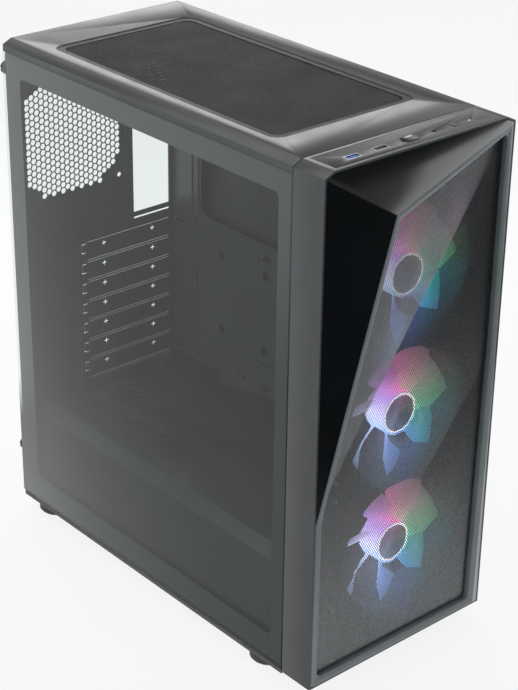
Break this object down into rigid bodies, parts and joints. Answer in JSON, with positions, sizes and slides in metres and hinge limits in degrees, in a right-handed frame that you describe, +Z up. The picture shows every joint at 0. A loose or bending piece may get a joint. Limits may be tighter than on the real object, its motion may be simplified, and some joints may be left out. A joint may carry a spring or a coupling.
{
  "type": "desktop computer tower",
  "caption": "Empty desktop computer tower with a glass side, lit front fans behind a folded mesh, a port strip on top and removable panels.",
  "frame": {"origin": "middle of the case's box in X and Y, on the surface its feet stand on", "axes": "+X to the right seen from the front, +Y to the rear, +Z up"},
  "size_m": [0.199, 0.438, 0.463],
  "materials": {
    "painted_steel": "satin dark grey powder coat",
    "front_plastic": "fine satin, dark grey",
    "gloss_cover": "gloss black",
    "frame_plastic": "satin grey",
    "mesh_steel": "perforated, matt",
    "smoked_glass": "tempered, lightly tinted",
    "rubber": "matt",
    "foot_plastic": "moulded",
    "fan_plastic": "moulded black",
    "blade_plastic": "frosted, lets light through",
    "light_ring": "frosted and lit",
    "black_screw": "black oxide",
    "plated_screw": "zinc plated",
    "brass": "turned",
    "socket_steel": "nickel plated",
    "blue_tongue": "moulded blue",
    "black_tongue": "moulded black",
    "lamp": "clear",
    "circuit_board": "solder mask",
    "filter_net": "fine nylon mesh",
    "filter_rim": "flexible magnetic strip",
    "tray_plastic": "moulded"
  },
  "bodies": {
    "case": {"chassis_floor": "painted_steel", "chassis_roof": "painted_steel", "chassis_rear": "painted_steel", "slot_covers": "painted_steel", "slot_bracket": "painted_steel", "slot_screws": "black_screw", "motherboard_tray": "painted_steel", "board_standoffs": "brass", "front_plate": "painted_steel", "psu_shroud": "painted_steel", "drive_cage": "painted_steel", "drive_tray_lower": "tray_plastic", "drive_tray_upper": "tray_plastic", "fan_screws": "plated_screw", "foot_front_left": "foot_plastic", "foot_front_right": "foot_plastic", "foot_rear_left": "foot_plastic", "foot_rear_right": "foot_plastic", "foot_pad_front_left": "rubber", "foot_pad_front_right": "rubber", "foot_pad_rear_left": "rubber", "foot_pad_rear_right": "rubber", "fan_frame_bottom": "fan_plastic", "fan_frame_middle": "fan_plastic", "fan_frame_top": "fan_plastic", "fan_motor_bottom": "fan_plastic", "fan_motor_middle": "fan_plastic", "fan_motor_top": "fan_plastic"},
    "front_panel": {"front_shell": "front_plastic", "mesh_frame": "frame_plastic", "front_mesh": "mesh_steel", "facet_cover": "gloss_cover", "port_strip": "front_plastic", "usb_shell_left": "socket_steel", "usb_shell_right": "socket_steel", "usb_tongue_left": "blue_tongue", "usb_tongue_right": "black_tongue", "audio_jack": "black_tongue", "power_lamp": "lamp", "port_board": "circuit_board"},
    "power_key": {"power_button": "gloss_cover"},
    "reset_key": {"reset_button": "front_plastic"},
    "glass_side": {"glass_panel": "smoked_glass", "glass_bracket": "painted_steel", "glass_thumb_screws": "black_screw"},
    "steel_side": {"right_panel": "painted_steel", "panel_thumb_screws": "black_screw"},
    "top_sieve": {"top_filter_frame": "filter_rim", "top_filter_mesh": "filter_net"},
    "lower_sieve": {"lower_filter_frame": "tray_plastic", "lower_filter_mesh": "filter_net"},
    "rotor_bottom": {"fan_rotor_bottom": "blade_plastic", "fan_light_ring_bottom": "light_ring"},
    "rotor_middle": {"fan_rotor_middle": "blade_plastic", "fan_light_ring_middle": "light_ring"},
    "rotor_top": {"fan_rotor_top": "blade_plastic", "fan_light_ring_top": "light_ring"}
  },
  "joints": [
    {"name": "fan_bottom_spin", "type": "hinge", "parent": "case", "child": "rotor_bottom", "pos_m": [0, -0.1719, 0.1121], "axis": [0, -1, 0], "continuous": true},
    {"name": "fan_middle_spin", "type": "hinge", "parent": "case", "child": "rotor_middle", "pos_m": [0, -0.1719, 0.2328], "axis": [0, -1, 0], "continuous": true},
    {"name": "fan_top_spin", "type": "hinge", "parent": "case", "child": "rotor_top", "pos_m": [0, -0.1719, 0.3535], "axis": [0, -1, 0], "continuous": true},
    {"name": "power_press", "type": "slide", "parent": "front_panel", "child": "power_key", "axis": [0, 0, -1], "range_m": [0, 0.0012], "stiffness_N_per_m": 400},
    {"name": "reset_press", "type": "slide", "parent": "front_panel", "child": "reset_key", "axis": [0, 0, -1], "range_m": [0, 0.0008], "stiffness_N_per_m": 400},
    {"name": "front_panel_pull", "type": "slide", "parent": "case", "child": "front_panel", "axis": [0, -1, 0], "range_m": [0, 0.04]},
    {"name": "glass_slide", "type": "slide", "parent": "case", "child": "glass_side", "axis": [0, 1, 0], "range_m": [0, 0.02]},
    {"name": "steel_side_slide", "type": "slide", "parent": "case", "child": "steel_side", "axis": [0, 1, 0], "range_m": [0, 0.02]},
    {"name": "top_filter_lift", "type": "slide", "parent": "case", "child": "top_sieve", "axis": [0, 0, 1], "range_m": [0, 0.03]},
    {"name": "lower_filter_slide", "type": "slide", "parent": "case", "child": "lower_sieve", "axis": [0, 1, 0], "range_m": [0, 0.18]}
  ]
}
